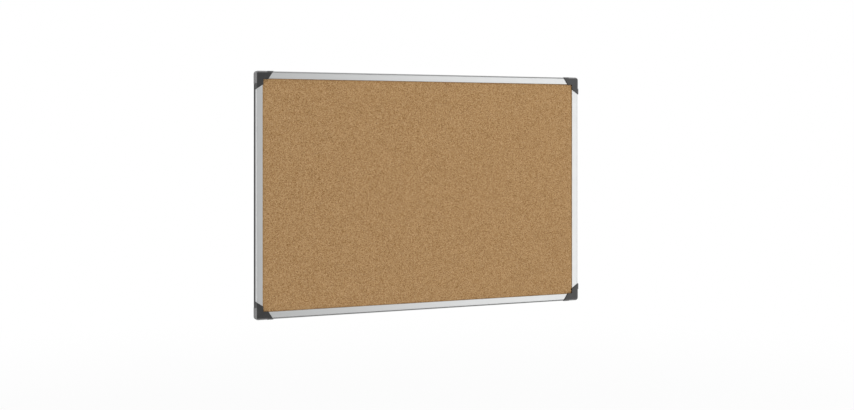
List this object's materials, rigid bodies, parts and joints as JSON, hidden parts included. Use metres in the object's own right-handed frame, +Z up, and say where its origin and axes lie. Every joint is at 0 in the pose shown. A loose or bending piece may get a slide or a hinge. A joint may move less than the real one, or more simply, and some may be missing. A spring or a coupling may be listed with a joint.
{
  "type": "cork notice board",
  "caption": "Wall hung cork notice board: cork faced softboard panel in a slim aluminium frame with dark plastic corner caps that pull off over concealed wall screw holes.",
  "frame": {"origin": "middle of the board on the plane of the wall, where the four corner brackets bear", "axes": "+X to the right of someone who faces the board, +Y into the wall, +Z up, so the cork faces -Y"},
  "size_m": [0.9012, 0.0165, 0.6012],
  "materials": {
    "cork": "fine agglomerated cork granules, matt",
    "softboard": "pressed wood fibre, raw",
    "backing_paper": "brown kraft paper, matt",
    "frame_aluminium": "extruded, satin silver anodised",
    "bracket_plastic": "moulded, fine texture",
    "cap_plastic": "moulded, satin",
    "screw_steel": "zinc plated"
  },
  "bodies": {
    "board": {"cork_sheet": "cork", "softboard_core": "softboard", "backing_sheet": "backing_paper", "rail_bottom": "frame_aluminium", "rail_right": "frame_aluminium", "rail_top": "frame_aluminium", "rail_left": "frame_aluminium", "corner_bracket_bottom_left": "bracket_plastic", "corner_bracket_bottom_right": "bracket_plastic", "corner_bracket_top_right": "bracket_plastic", "corner_bracket_top_left": "bracket_plastic", "screw_bottom_left_in_bottom_rail": "screw_steel", "screw_bottom_left_in_left_rail": "screw_steel", "screw_bottom_right_in_right_rail": "screw_steel", "screw_bottom_right_in_bottom_rail": "screw_steel", "screw_top_right_in_top_rail": "screw_steel", "screw_top_right_in_right_rail": "screw_steel", "screw_top_left_in_left_rail": "screw_steel", "screw_top_left_in_top_rail": "screw_steel"},
    "cap_bottom_left": {"corner_cap_bottom_left": "cap_plastic"},
    "cap_bottom_right": {"corner_cap_bottom_right": "cap_plastic"},
    "cap_top_right": {"corner_cap_top_right": "cap_plastic"},
    "cap_top_left": {"corner_cap_top_left": "cap_plastic"}
  },
  "joints": [
    {"name": "cap_bottom_left_pull", "type": "slide", "parent": "board", "child": "cap_bottom_left", "axis": [0, -1, 0], "range_m": [0, 0.018]},
    {"name": "cap_bottom_right_pull", "type": "slide", "parent": "board", "child": "cap_bottom_right", "axis": [0, -1, 0], "range_m": [0, 0.018]},
    {"name": "cap_top_right_pull", "type": "slide", "parent": "board", "child": "cap_top_right", "axis": [0, -1, 0], "range_m": [0, 0.018]},
    {"name": "cap_top_left_pull", "type": "slide", "parent": "board", "child": "cap_top_left", "axis": [0, -1, 0], "range_m": [0, 0.018]}
  ]
}
